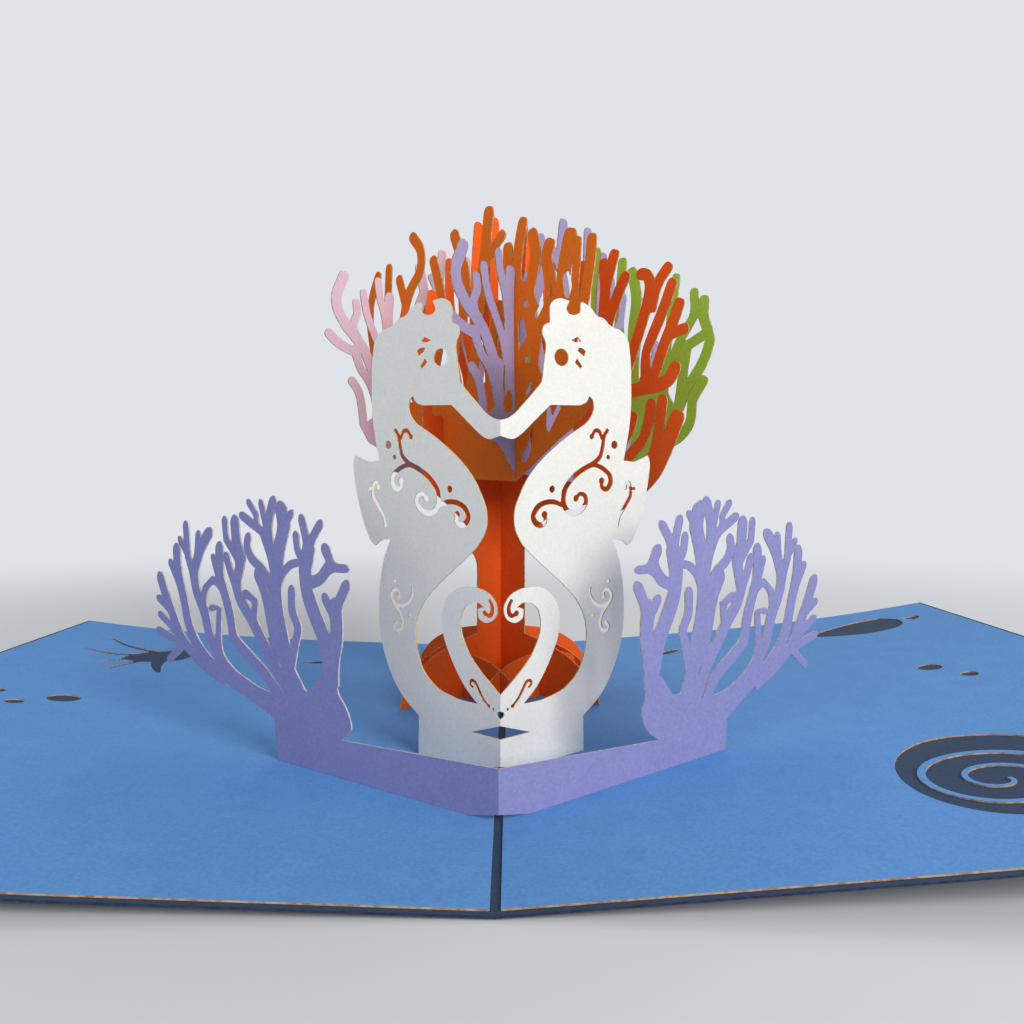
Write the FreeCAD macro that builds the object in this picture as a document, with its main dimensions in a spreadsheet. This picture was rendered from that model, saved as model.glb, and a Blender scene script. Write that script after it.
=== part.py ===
import FreeCAD, Part
import math
import os
from FreeCAD import Placement, Rotation, Vector

# A pop up card held open: a folded cover with a lining sheet on each page, a coral strip and a
# pair of seahorses that stand as V-folds on the gutter, and behind them a coral tree of sheets
# that cross and slot into each other.
# X runs to the right across the pages, Y along the gutter away from the reader, Z up.
# The origin is the middle of the gutter's underside. Millimetres and degrees throughout.

doc = FreeCAD.newDocument("PopUpCard")

# Driving sizes
SIZES = [
    ("page_width", 150.0),
    ("page_length", 200.0),
    ("cover_thick", 0.4),
    ("liner_thick", 0.3),
    ("glue_thick", 0.02),
    ("sheet_thick", 0.35),
    ("cover_border", 1.3),
    ("gutter_strip", 1.7),
    ("left_tilt", 2.0),
    ("right_tilt", 4.5),
    ("flat_width", 65.0),
    ("curl_radius", 850.0),
    ("foot_clearance", 0.05),
    ("slot_clearance", 0.15),
    ("wing_angle", 33.4),
    ("fold_relief", 1.6),
    ("relief_length", 6.6),
    ("coral_fold", 66.6),
    ("coral_height", 56.0),
    ("coral_foot", 56.5),
    ("left_coral_spread", 1.12),
    ("left_coral_shift", 4.6),
    ("strip_height", 9.0),
    ("seahorse_fold", 40.0),
    ("seahorse_height", 101.0),
    ("tree_back", 35.0),
    ("tree_left", 0.7),
    ("tree_height", 141.0),
    ("trunk_half", 9.4),
    ("trunk_lap", 48.0),
    ("crown_lap", 74.0),
    ("root_half", 37.0),
    ("root_height", 17.0),
    ("front_root_half", 23.0),
    ("front_root_height", 12.0),
    ("front_root_offset", 15.0),
    ("lavender_offset", 27.6),
    ("pink_offset", 21.4),
    ("rust_offset", 22.0),
    ("green_offset", 25.0),
]

# Heights and page sizes at which the outlines below are drawn
DRAWN_SEAHORSE = 101.0
DRAWN_CORAL = 56.0
DRAWN_TREE = 141.0
DRAWN_PAGE = (150.0, 200.0)

# Degrees that a cut may turn through in one straight chord
CHORD_TURN = 26.0

# Number of straight chords in a root sheet's half oval
ROOT_CORNERS = 12


def make_sheet():
    """Put the driving sizes in a spreadsheet, one alias per row."""
    sheet = doc.addObject("Spreadsheet::Sheet", "Sizes")
    for row, (alias, value) in enumerate(SIZES, start=1):
        sheet.set("A%d" % row, alias)
        sheet.set("B%d" % row, str(value))
        sheet.setAlias("B%d" % row, alias)
    doc.recompute()
    return sheet


sizes = make_sheet()


def size(alias):
    """Value of one driving size."""
    return float(sizes.get(alias))


# Pages

def page_tilt(side):
    """Slope of the page on that side: -1 left, +1 right."""
    return size("left_tilt") if side < 0 else size("right_tilt")


def page_point(side, run, height):
    """Point of a page's section at a run along it from the gutter, height above its underside."""
    tilt = math.radians(page_tilt(side))
    flat = min(run, size("flat_width"))
    radius = size("curl_radius")
    turn = max(0.0, run - flat) / radius
    across = flat * math.cos(tilt) + radius * (math.sin(tilt + turn) - math.sin(tilt))
    up = flat * math.sin(tilt) + radius * (math.cos(tilt) - math.cos(tilt + turn))
    across -= height * math.sin(tilt + turn)
    up += height * math.cos(tilt + turn)
    return Vector(side * across, 0, up)


def page_top(x_position):
    """Height of the lining's upper face over the flat part of a page."""
    tilt = math.radians(page_tilt(-1 if x_position < 0 else 1))
    layers = size("cover_thick") + size("glue_thick") + size("liner_thick")
    return layers / math.cos(tilt) + abs(x_position) * math.tan(tilt)


def page_edges(side, start, end, low, high):
    """Edges of the closed section of one layer on one page."""
    flat = size("flat_width")
    middle = (flat + end) / 2
    inner = [page_point(side, start, low), page_point(side, start, high)]
    knee = [page_point(side, flat, low), page_point(side, flat, high)]
    bend = [page_point(side, middle, low), page_point(side, middle, high)]
    outer = [page_point(side, end, low), page_point(side, end, high)]
    return inner, knee, bend, outer


def section_sketch(body, name):
    """A sketch on the body's own XZ plane."""
    plane = [o for o in body.Origin.OriginFeatures if o.Role == "XZ_Plane"][0]
    sketch = body.newObject("Sketcher::SketchObject", name)
    sketch.AttachmentSupport = [(plane, "")]
    sketch.MapMode = "FlatFace"
    return sketch


def flat_point(vector):
    """A section point in sketch coordinates."""
    return Vector(vector.x, vector.z, 0)


def draw_path(sketch, path):
    """Draw lines and three-point arcs end to end round a closed outline."""
    for piece in path:
        points = [flat_point(p) for p in piece]
        if len(points) == 2:
            sketch.addGeometry(Part.LineSegment(points[0], points[1]), False)
        else:
            sketch.addGeometry(Part.Arc(points[0], points[1], points[2]), False)


def sheet_body(name, path, length_alias, border):
    """A body whose section is swept along the gutter, centred on the origin."""
    body = doc.addObject("PartDesign::Body", name)
    body.Label = name
    sketch = section_sketch(body, name + "_section")
    draw_path(sketch, path)
    pad = body.newObject("PartDesign::Pad", name + "_length")
    pad.Profile = sketch
    pad.Midplane = True
    pad.setExpression("Length", "Sizes.%s - 2 * %s" % (length_alias, border))
    body.Tip = pad
    return body


def make_cover():
    """The folded navy cover: one sheet that runs over both pages."""
    width = size("page_width")
    thick = size("cover_thick")
    left = page_edges(-1, 0, width, 0, thick)
    right = page_edges(1, 0, width, 0, thick)
    gutter_low = Vector(0, 0, 0)
    gutter_high = Vector(0, 0, thick / math.cos(math.radians(page_tilt(1))))
    path = [
        (gutter_low, right[1][0]),
        (right[1][0], right[2][0], right[3][0]),
        (right[3][0], right[3][1]),
        (right[3][1], right[2][1], right[1][1]),
        (right[1][1], gutter_high),
        (gutter_high, left[1][1]),
        (left[1][1], left[2][1], left[3][1]),
        (left[3][1], left[3][0]),
        (left[3][0], left[2][0], left[1][0]),
        (left[1][0], gutter_low),
    ]
    return sheet_body("cover", path, "page_length", "0")


def liner_section(side):
    """Section of the lining sheet that is glued on one page."""
    start = size("gutter_strip") / 2
    end = size("page_width") - size("cover_border")
    low = size("cover_thick") + size("glue_thick")
    high = low + size("liner_thick")
    inner, knee, bend, outer = page_edges(side, start, end, low, high)
    return [
        (inner[0], knee[0]),
        (knee[0], bend[0], outer[0]),
        (outer[0], outer[1]),
        (outer[1], bend[1], knee[1]),
        (knee[1], inner[1]),
        (inner[1], inner[0]),
    ]


# Flat outlines

def bend(before, start, end, after):
    """Degrees that a run of points turns through along the chord from start to end."""
    chord = end - start
    turn = 0.0
    if (start - before).Length > 0:
        turn += math.degrees(chord.getAngle(start - before)) / 2
    if (after - end).Length > 0:
        turn += math.degrees(chord.getAngle(after - end)) / 2
    return turn


def smooth(points, fineness=CHORD_TURN):
    """Catmull-Rom curve through the points, with more chords where it turns more."""
    path = [Vector(x, y, 0) for x, y in points]
    line = []
    for index in range(len(path) - 1):
        before = path[max(index - 1, 0)]
        start = path[index]
        end = path[index + 1]
        after = path[min(index + 2, len(path) - 1)]
        steps = 1 + int(bend(before, start, end, after) / fineness)
        for step in range(steps):
            t = step / steps
            line.append((start * 2 + (end - before) * t
                         + (before * 2 - start * 5 + end * 4 - after) * t ** 2
                         + (start * 3 - before - end * 3 + after) * t ** 3) * 0.5)
    line.append(path[-1])
    return line


def polygon(points):
    """Flat face inside a closed run of points."""
    line = [p if isinstance(p, Vector) else Vector(p[0], p[1], 0) for p in points]
    turning = sum(a.x * b.y - b.x * a.y for a, b in zip(line, line[1:] + line[:1]))
    if turning < 0:
        line.reverse()
    return Part.Face(Part.makePolygon(line + [line[0]]))


def outline(runs, fineness=CHORD_TURN):
    """Flat face inside runs of points, each run smooth and the joins between runs sharp."""
    line = []
    for run in runs:
        line += smooth(run, fineness)[:-1]
    return polygon(line)


# Degrees round a branch's tip at which its outline has corners
TIPS = {"round": (50, 130), "nib": (90,), "flat": ()}


def ribbon(points, width, tip="round", fineness=CHORD_TURN, root_width=None, swell=0.0):
    """Flat strip along a curve, from its root to its tip, wider in its middle by swell."""
    centre = smooth(points, fineness)
    count = len(centre)
    root_width = root_width or width
    left = []
    right = []
    for index, point in enumerate(centre):
        ahead = centre[min(index + 1, count - 1)]
        behind = centre[max(index - 1, 0)]
        along = (ahead - behind).normalize()
        across = Vector(-along.y, along.x, 0)
        share = index / (count - 1)
        half = (root_width + (width - root_width) * share + swell * math.sin(math.pi * share)) / 2
        left.append(point + across * half)
        right.append(point - across * half)
    cap = []
    along = (centre[-1] - centre[-2]).normalize()
    across = Vector(-along.y, along.x, 0)
    for turn in TIPS[tip]:
        angle = math.radians(turn)
        cap.append(centre[-1] + (across * math.cos(angle) + along * math.sin(angle)) * width / 2)
    return polygon(left + cap + right[::-1])


def disc(x_centre, y_centre, width, height=None, corners=12):
    """Round or oval face."""
    height = height or width
    turns = [2 * math.pi * k / corners for k in range(corners)]
    return polygon([(x_centre + width / 2 * math.cos(a), y_centre + height / 2 * math.sin(a))
                    for a in turns])


def merge(faces):
    """One face out of faces that overlap."""
    return faces[0].multiFuse(faces[1:]).removeSplitter()


def scaled(points, factor):
    """Drawn points at the real size."""
    return [(x * factor, y * factor) for x, y in points]


# Cut sheets

def add_plate(name, face, placement):
    """A sheet of card cut to a flat outline and stood in place."""
    drawing = doc.addObject("Part::Feature", name + "_outline")
    drawing.Shape = face
    plate = doc.addObject("Part::Extrusion", name)
    plate.Base = drawing
    plate.DirMode = "Custom"
    plate.Dir = Vector(0, 0, 1)
    plate.Solid = True
    plate.Symmetric = True
    plate.setExpression("LengthFwd", "Sizes.sheet_thick")
    plate.Placement = placement
    return plate


def upright(origin, along):
    """Placement that lays a drawing's x along a level direction and its y straight up."""
    up = Vector(0, 0, 1)
    return Placement(origin, Rotation(along, up, along.cross(up), "ZXY"))


def below_wing(side, fold_gap):
    """Face that trims the foot of a V-fold's wing to its page."""
    lean = math.cos(math.radians(size("wing_angle")))
    far = size("page_width")
    clear = size("foot_clearance")
    near = size("relief_length")
    return polygon([(-1, -60), (far, -60), (far, page_top(side * far * lean) + clear),
                    (near, page_top(side * near * lean) + clear),
                    (0, page_top(0) + fold_gap), (-1, page_top(0) + fold_gap)])


def add_v_fold(name, faces, fold_y, folded_spans):
    """A sheet folded on the gutter: two wings joined by the rounded fold between them."""
    angle = math.radians(size("wing_angle"))
    origin = Vector(0, -fold_y, 0)
    parts = []
    for side, face in faces:
        along = Vector(side * math.cos(angle), math.sin(angle), 0)
        label = "left" if side < 0 else "right"
        parts.append(add_plate("%s_%s_wing" % (name, label), face, upright(origin, along)))
    for number, (low, high) in enumerate(folded_spans, start=1):
        rod = doc.addObject("Part::Cylinder", "%s_fold_%d" % (name, number))
        rod.setExpression("Radius", "Sizes.sheet_thick / 2")
        rod.Height = high - low
        rod.Placement.Base = origin + Vector(0, 0, low)
        parts.append(rod)
    fold = doc.addObject("Part::MultiFuse", name)
    fold.Shapes = parts
    fold.Label = name
    return fold


# Coral strip in front

# Degrees that a coral branch may turn through in one straight chord
CORAL_TURN = 80.0

CORAL_BODY = [(57, 4), (57.5, 11), (66, 17), (71, 22), (66, 21), (57, 17), (51, 16), (48, 16), (44, 18),
              (42, 18), (39, 22), (36, 24), (34.5, 18.5), (33.5, 15.5), (34.5, 12), (38.5, 9.2)]

CORAL_BRANCHES = [
    (3.4, [(36, 20), (36, 25), (35, 29), (35, 33), (35.5, 36.5)]),
    (2.4, [(35, 34), (34.5, 37), (32.5, 41)]),
    (2.2, [(35.5, 34), (38, 38)]),
    (3.6, [(36.5, 23), (38, 29.5), (40.5, 34), (42.5, 38.5), (43, 43), (42, 48)]),
    (2.0, [(42.5, 46), (41, 50), (39, 53)]),
    (2.0, [(42, 46), (43, 50.5), (44, 54)]),
    (1.8, [(42.5, 43.5), (45, 47), (45.5, 50.5)]),
    (2.6, [(43, 40), (39, 41.5), (36.5, 45), (38, 48)]),
    (1.8, [(38, 44), (32.5, 44)]),
    (3.6, [(45, 15), (47.5, 22), (49, 28.5), (50.5, 34), (51, 40), (50, 47), (48.5, 52), (49.5, 56)]),
    (1.6, [(49, 51), (46.5, 55)]),
    (2.4, [(50.5, 39), (52.5, 47.5), (53, 52.5), (51.5, 57.5)]),
    (1.6, [(52.8, 49), (55, 57)]),
    (2.0, [(52, 45), (54.5, 50.5), (58, 52.5), (60.5, 54)]),
    (1.6, [(56.5, 51), (56.2, 54), (58.5, 57)]),
    (2.2, [(50.5, 37), (54.5, 42.5), (57.5, 44.5), (59, 47), (58.5, 49.5)]),
    (1.8, [(51, 37.5), (49, 42), (47, 44), (45, 44.5)]),
    (2.4, [(50, 23), (52, 30.5), (53, 35), (54, 38), (56, 41.5)]),
    (2.2, [(47, 21), (45.5, 28), (44.5, 31), (46.5, 34), (46.5, 39)]),
    (2.8, [(48, 15), (51.5, 23), (54.5, 27), (57.5, 31.5), (61, 35.5), (62, 38.5), (60.5, 44.5), (62, 48),
           (62.5, 53)]),
    (1.8, [(61, 43.5), (65, 48.5), (65.5, 53)]),
    (2.0, [(62, 38), (64, 42), (65, 45)]),
    (2.0, [(57, 30), (56.5, 35.5), (59.5, 37)]),
    (2.6, [(51, 15), (54, 20.5), (58.5, 23.5), (63, 27), (63.5, 31), (65, 35.5), (67, 40), (67, 47)]),
    (1.6, [(67, 39), (69, 44.5)]),
    (1.8, [(65.8, 37.5), (69, 39.3), (71.5, 37), (71.8, 33)]),
    (2.8, [(57, 15), (63, 18.5), (67, 22), (70, 26.5), (71.5, 32), (74, 36), (75, 40), (73, 46), (70, 50)]),
    (1.8, [(74, 43), (73.5, 49.5)]),
    (2.0, [(74.8, 39), (76.8, 44), (77.5, 51.5)]),
    (1.6, [(77, 44.5), (79.5, 48)]),
    (2.6, [(62, 16), (68.5, 19.5), (73.5, 23.5), (76.5, 28), (78, 34), (80, 40), (80.5, 46)]),
    (1.8, [(79, 36.5), (82.5, 42.5)]),
    (2.6, [(66, 17), (71.5, 19.5), (78.5, 24.5), (81.5, 30), (84, 34.5), (86, 39)]),
    (1.8, [(82, 31), (86.5, 33.8)]),
    (1.8, [(79, 25.5), (86, 30)]),
    (1.8, [(76.5, 23), (81.5, 24.6), (86.5, 26.2)]),
    (1.8, [(77, 24.5), (83, 19.5)]),
    (1.8, [(66.5, 22), (67.3, 26), (67, 33), (69.5, 32.8)]),
]


def place_coral(points, side, factor):
    """Drawn coral points at the real size; above the strip the left coral stands further out."""
    inner = 36.0
    placed = []
    for x, y in points:
        if side < 0:
            rise = min(1.0, max(0.0, (y - 11) / 7))
            x += rise * (size("left_coral_shift") + (x - inner) * (size("left_coral_spread") - 1))
        placed.append((x * factor, y * factor))
    return placed


def coral_face(side):
    """One wing of the coral strip, drawn from the fold outwards."""
    factor = size("coral_height") / DRAWN_CORAL
    strip = polygon([(0, -5), (size("coral_foot"), -5), (size("coral_foot"), size("strip_height")),
                     (0, size("strip_height") + 1.5)])
    faces = [strip, polygon(place_coral(CORAL_BODY, side, factor))]
    for width, points in CORAL_BRANCHES:
        line = place_coral(points, side, factor)
        faces.append(ribbon(line, width * factor, "nib", CORAL_TURN))
    return merge(faces).cut(below_wing(side, size("fold_relief")))


def make_front_coral():
    """The lavender strip with a coral on each end."""
    faces = [(side, coral_face(side)) for side in (-1, 1)]
    span = (page_top(0) + size("fold_relief"), size("strip_height") + 1.5)
    return add_v_fold("front_coral", faces, size("coral_fold"), [span])


# Seahorses

SEAHORSE_RUNS = [
    [(0, 74.2), (1.6, 74.5), (3.4, 75.5), (7.3, 79.3), (10.5, 82.6)],
    [(10.5, 82.6), (10.8, 85.5), (11.6, 90.6), (10.6, 92.6), (10.8, 94.6), (12.6, 95.5)],
    [(12.6, 95.5), (12.5, 99), (13.9, 100.5), (15.6, 101), (17.8, 100.6)],
    [(17.8, 100.6), (16.9, 99), (17.6, 97.8), (18.7, 97.6)],
    [(18.7, 97.6), (20.7, 98.3), (21, 100.7), (24, 99.5), (25.3, 98)],
    [(25.3, 98), (27.5, 97.7), (29, 96.2)],
    [(29, 96.2), (32.2, 95.4), (34.6, 93), (35.3, 88), (35.3, 82), (35.4, 76), (34.2, 71), (33.1, 66)],
    [(33.1, 66), (36.2, 65.6), (38.9, 66.6), (40.4, 67.2)],
    [(40.4, 67.2), (41.1, 65.5), (40.4, 60.4), (39.2, 55.8), (37.6, 51.2), (35.8, 47.8), (34.4, 46.6)],
    [(34.4, 46.6), (32.6, 48), (29.8, 48.3)],
    [(29.8, 48.3), (31.9, 43.5), (33.1, 37), (33.2, 30.5), (32.4, 25), (30.4, 19.6), (27, 14), (21.5, 9.8)],
    [(21.5, 9.8), (21.7, -4)],
    [(21.7, -4), (0, -4)],
    [(0, -4), (0, 15.8)],
    [(0, 15.8), (5.7, 14.6)],
    [(5.7, 14.6), (10.7, 14.7), (16, 16.2), (20.6, 20.1), (22.6, 25.5), (22.4, 31), (19.8, 35.7),
     (14.6, 40.4), (9.6, 44.3), (5.4, 47.9), (3.6, 51.2), (3.5, 55.8), (6.1, 61.5), (10.3, 66.1),
     (16.9, 71), (22.3, 74), (24.5, 77), (24.2, 79.5), (23.2, 80.2)],
    [(23.2, 80.2), (22.6, 78.8), (20.8, 78)],
    [(20.8, 78), (12.6, 77.8)],
    [(12.6, 77.8), (9.4, 75.1), (5.2, 71.4), (2.6, 70.2), (0, 70.9)],
    [(0, 70.9), (0, 74.2)],
]

TAIL_RUNS = [
    [(0, 14), (5.7, 14.6)],
    [(5.7, 14.6), (9.1, 17.7), (12.2, 22.3), (14.6, 27.5), (15.2, 33), (13, 37.2), (9.4, 39.1),
     (5.6, 39), (2.2, 37.6), (0.7, 35), (1.5, 32.7), (3.6, 31.8), (5.5, 32.8), (5.6, 34.6)],
    [(5.6, 34.6), (4.6, 35), (3.9, 35)],
    [(3.9, 35), (5.6, 36), (8.3, 35.4), (10, 33), (9.9, 28.7), (7.7, 24.2), (3.6, 20.2), (0, 17.2)],
    [(0, 17.2), (0, 14)],
]

# Degrees that a scroll may turn through in one straight chord
SCROLL_TURN = 46.0

# Scroll cut-outs on each seahorse: width, then points
SCROLLS = [
    (0.95, [(28.6, 73), (27.4, 71.5), (27, 69), (26.4, 66.8), (24.6, 65.3), (21.4, 64), (18.3, 62),
            (16.3, 59.4), (16, 56.8), (17, 54.9), (19, 54.2), (21, 54.9), (22.3, 56.5), (22, 58.2),
            (20.5, 58.6), (19.5, 57.6)]),
    (0.8, [(26.9, 70.6), (26.2, 72.3), (24.8, 72.6), (23.9, 71.2)]),
    (1.0, [(24.4, 65.1), (26.8, 64.4), (28.8, 63), (29.3, 61), (28.1, 59.5), (26.7, 60.1), (26.7, 61.4)]),
    (1.0, [(16, 56.1), (13.8, 57), (11.4, 57), (9.2, 56), (8.1, 54.2), (8.7, 52.6), (10.3, 52),
           (11.4, 53), (11.1, 54.3)]),
    (0.7, [(36.6, 59.6), (35.2, 59.6), (35.1, 57.8), (33.2, 55.2), (31.8, 53.4), (31.3, 51.4)]),
    (0.8, [(35.2, 59.4), (34.8, 60.8), (33.8, 60.9), (33.5, 59.9)]),
    (0.7, [(23.5, 38), (23.3, 36.5), (24.3, 34.6), (26.4, 33.4), (28.8, 34), (29.6, 35.8), (28.6, 37.1),
           (27.3, 36.7), (27.3, 35.4)]),
    (0.7, [(29, 34), (27.3, 32.4), (26.2, 30.2), (26.8, 28.2), (28.2, 27.9), (28.8, 28.9), (28, 29.7)]),
    (0.55, [(6.8, 17.9), (7.6, 18.3), (7.5, 19.3), (6.4, 19.2), (5.4, 17.6), (4.4, 15.9), (2.9, 14.5)]),
    (0.8, [(2.8, 36.8), (1.9, 35.4), (2, 34), (2.9, 33.3), (3.9, 33.8)]),
]

# Round cut-outs on each seahorse: place, width and height
DOTS = [
    (30.4, 69.5, 2.0, 2.0), (28.6, 66.7, 1.2, 1.2), (13.1, 59.7, 1.6, 1.7), (28.6, 38.9, 1.1, 1.1),
    (24.3, 31.7, 1.1, 1.1), (1.7, 14.0, 0.6, 0.7), (15.6, 88.2, 4.1, 4.1),
]

BROWS = [
    [(21.1, 92.1), (20, 93), (18.1, 92.1), (19.8, 91.6)],
    [(22.3, 90), (21.2, 90.7), (19.7, 90.6), (20.1, 89.8), (21.8, 88.8)],
    [(21.3, 86.6), (19.8, 88.3), (19.2, 87.3), (20.8, 86.0)],
]


def seahorse_face(side):
    """One wing of the seahorse sheet, drawn from the fold outwards."""
    factor = size("seahorse_height") / DRAWN_SEAHORSE
    body = outline([scaled(run, factor) for run in SEAHORSE_RUNS])
    tail = outline([scaled(run, factor) for run in TAIL_RUNS])
    holes = []
    for width, points in SCROLLS:
        thin = width * factor * 0.95
        stroke = ribbon(scaled(points, factor), thin, "flat", SCROLL_TURN, swell=width * factor * 0.45)
        eye = disc(points[-1][0] * factor, points[-1][1] * factor, width * factor * 1.7, corners=7)
        holes.append(merge([stroke, eye]))
    holes += [disc(x * factor, y * factor, w * factor, h * factor, 8) for x, y, w, h in DOTS]
    holes += [polygon(scaled(points, factor)) for points in BROWS]
    holes.append(polygon(scaled([(-1, 7.9), (7.5, 8.4), (-1, 11.1)], factor)))
    holes.append(disc(0, 13 * factor, 1.8 * factor, 1.9 * factor))
    holes.append(below_wing(side, size("fold_relief")))
    return merge([body, tail]).cut(holes)


def make_seahorses():
    """The white sheet with a seahorse on each side of the fold, nose to nose."""
    factor = size("seahorse_height") / DRAWN_SEAHORSE
    faces = [(side, seahorse_face(side)) for side in (-1, 1)]
    low = page_top(0) + size("fold_relief")
    spans = [(low, 7.9 * factor), (11.0 * factor, 12.05 * factor), (13.95 * factor, 17.2 * factor),
             (71 * factor, 74.2 * factor)]
    return add_v_fold("seahorses", faces, size("seahorse_fold"), spans)


# Coral tree

def tree_centre():
    """Place of the trunk's axis."""
    return Vector(-size("tree_left"), size("tree_back"), 0)


def sheet_axes(kind):
    """Level direction and normal of a tree sheet: kind A runs back right, kind B front right."""
    half = math.sqrt(0.5)
    if kind == "A":
        return Vector(half, half, 0), Vector(half, -half, 0)
    return Vector(half, -half, 0), Vector(-half, -half, 0)


def tree_scale():
    """How much larger than drawn the tree is; its lattice grows with it."""
    return size("tree_height") / DRAWN_TREE


def tree_size(alias):
    """One of the lattice's sizes at the tree's real size."""
    return size(alias) * tree_scale()


def below_sheet(kind, offset):
    """Face that trims the foot of a tree sheet to both pages."""
    along, normal = sheet_axes(kind)
    start = tree_centre() + normal * offset
    gutter = -start.x / along.x
    far = size("page_length") / 4
    clear = size("foot_clearance")
    left = page_top(start.x + along.x * (gutter - far)) + clear
    right = page_top(start.x + along.x * (gutter + far)) + clear
    return polygon([(gutter - far, -60), (gutter + far, -60), (gutter + far, right),
                    (gutter, page_top(0) + clear), (gutter - far, left)])


def slot(place, low, high):
    """Slot that takes a crossing sheet."""
    half = (size("sheet_thick") + size("slot_clearance")) / 2
    return polygon([(place - half, low), (place + half, low), (place + half, high), (place - half, high)])


def add_tree_sheet(name, kind, offset, drawn, slots):
    """One upright sheet of the tree with its slots."""
    along, normal = sheet_axes(kind)
    face = drawn.cut([slot(*values) for values in slots] + [below_sheet(kind, offset)])
    plate = add_plate(name, face, upright(tree_centre() + normal * offset, along))
    plate.Label = name
    return plate


def root_face(half, height):
    """Half oval that spreads a sheet's foot over the pages."""
    turns = [math.pi * k / ROOT_CORNERS for k in range(ROOT_CORNERS + 1)]
    arc = [(half * math.cos(turn), height * math.sin(turn) + 1.5) for turn in turns]
    return polygon(arc + [(-half, -4), (half, -4)])


LAVENDER_WEB = [(-34, 76), (-31, 71.5), (-27.5, 70), (-23, 63.5), (-12, 61.5), (0, 60.5), (12, 61.5),
                (23, 63), (30, 68), (38, 78), (34, 83), (20, 80), (8, 84), (-6, 82), (-18, 82),
                (-23, 84), (-30, 78.5)]

LAVENDER_BRANCHES = [
    (3.2, [(-24.2, 74), (-24.2, 88), (-24.3, 101), (-24.4, 108), (-23.9, 113.5)]),
    (2.4, [(-24.6, 100), (-25.5, 108), (-27.5, 113), (-28, 117.5)]),
    (2.4, [(-25, 90), (-26.4, 96.5), (-29.5, 102.5), (-32, 107.5), (-33, 113.5)]),
    (2.4, [(-35.8, 101), (-36.4, 104.5), (-35, 107.5), (-35.5, 110.5)]),
    (3.2, [(-34.5, 100), (-38.5, 103.2), (-41.5, 107.5), (-42, 112), (-39.5, 117.3)]),
    (2.8, [(-33, 98), (-37, 97), (-41, 98.3), (-44.5, 101)]),
    (3.2, [(-28.5, 88), (-30.5, 93), (-33, 98), (-36, 101)]),
    (2.6, [(-28.8, 84), (-31, 89), (-34, 92), (-36, 97)]),
    (3.6, [(-27, 78), (-28.5, 84), (-28, 90)]),
    (2.6, [(-30.5, 73), (-33, 77), (-33.6, 82), (-34.6, 86), (-37, 88.6)]),
    (3.4, [(-12, 79), (-13, 92), (-16, 105), (-13, 112), (-11, 116.5), (-12.8, 123.5)]),
    (3.2, [(-11, 79), (-8, 94), (-3.6, 105), (-3, 112), (-5.5, 118.5), (-4, 129)]),
    (2.6, [(-5, 116), (-8.3, 121.5)]),
    (2.8, [(-17, 80), (-19.5, 92), (-19.3, 101), (-17.8, 113)]),
    (3.2, [(8, 80), (6, 92), (4, 105), (5.5, 116), (6, 128.5)]),
    (3.0, [(9, 80), (12, 96), (16, 107), (16, 117)]),
    (2.8, [(12.5, 97), (20, 105), (21.5, 113)]),
    (2.8, [(10.5, 100), (11, 114), (12.8, 123)]),
    (3.0, [(27.2, 72), (27.2, 86), (27.2, 96), (29, 106), (29.5, 113)]),
    (2.8, [(28, 84), (31.5, 92), (36, 96), (37, 101)]),
    (2.8, [(32, 76), (36, 86), (41, 90)]),
]

# Openings between the branches low in the lavender and the pink sheet
LAVENDER_WINDOWS = [
    [(-26.6, 80.5), (-24.6, 84.2), (-23.1, 82.4), (-23.1, 78.4), (-25.7, 77.8)],
    [(-16, 68), (-13, 74), (-14, 78.5), (-17.5, 75)],
    [(6, 66), (9, 73), (6, 79), (3, 72)],
    [(30, 73), (33.5, 78.5), (31, 80)],
]

RUST_WEB = [(-32, 78), (-20, 71), (-8, 65.5), (10, 61.5), (28, 61), (36.4, 67), (41.3, 70.6),
            (48, 74.6), (52, 79), (53.5, 90), (52, 100), (46, 108), (40, 108), (35.5, 104), (33, 109),
            (28.5, 112), (23, 103), (20, 88), (8, 83), (-4, 82), (-14, 83), (-26, 86), (-32, 83)]

RUST_BRANCHES = [
    (3.0, [(-28, 80), (-30, 92), (-33.5, 108), (-32.5, 115), (-29.2, 121)]),
    (3.0, [(-25, 80), (-26.5, 94), (-25, 108), (-24, 122.5)]),
    (3.0, [(-21, 80), (-19, 96), (-16.5, 111), (-19.3, 118.5)]),
    (3.2, [(-17.5, 98), (-17.5, 107), (-14.5, 114.5), (-10.5, 118.5), (-9.3, 122), (-10, 126),
           (-13.2, 129.5)]),
    (3.0, [(-12, 80), (-9, 94), (-10.5, 106)]),
    (3.2, [(-6, 80), (-2, 96), (0.5, 106), (-1.5, 114), (-4.2, 121.5)]),
    (3.4, [(2, 80), (4, 94), (8.5, 106), (9.5, 114), (7.5, 120), (4.5, 127)]),
    (3.6, [(10, 80), (13, 96), (14.5, 110), (16.5, 120), (18, 130.5)]),
    (2.6, [(16.5, 117), (20, 121), (23, 123.8)]),
    (3.0, [(18, 84), (19, 96), (22, 106)]),
    (3.4, [(23, 95), (25, 106), (25, 120)]),
    (3.2, [(28.5, 104), (28, 114), (29, 121), (30.3, 125.5)]),
    (3.4, [(31, 104), (34, 113), (34.8, 118), (33.5, 122)]),
    (3.6, [(40, 104), (39, 112), (38, 115.5), (39.3, 118.5)]),
    (4.2, [(43, 104), (44, 112), (45, 116), (46, 119.5)]),
    (2.4, [(47, 104), (47.8, 112), (48.2, 117.8)]),
    (3.0, [(49, 98), (51.5, 109), (52.3, 114), (52.6, 117.5)]),
]

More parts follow.
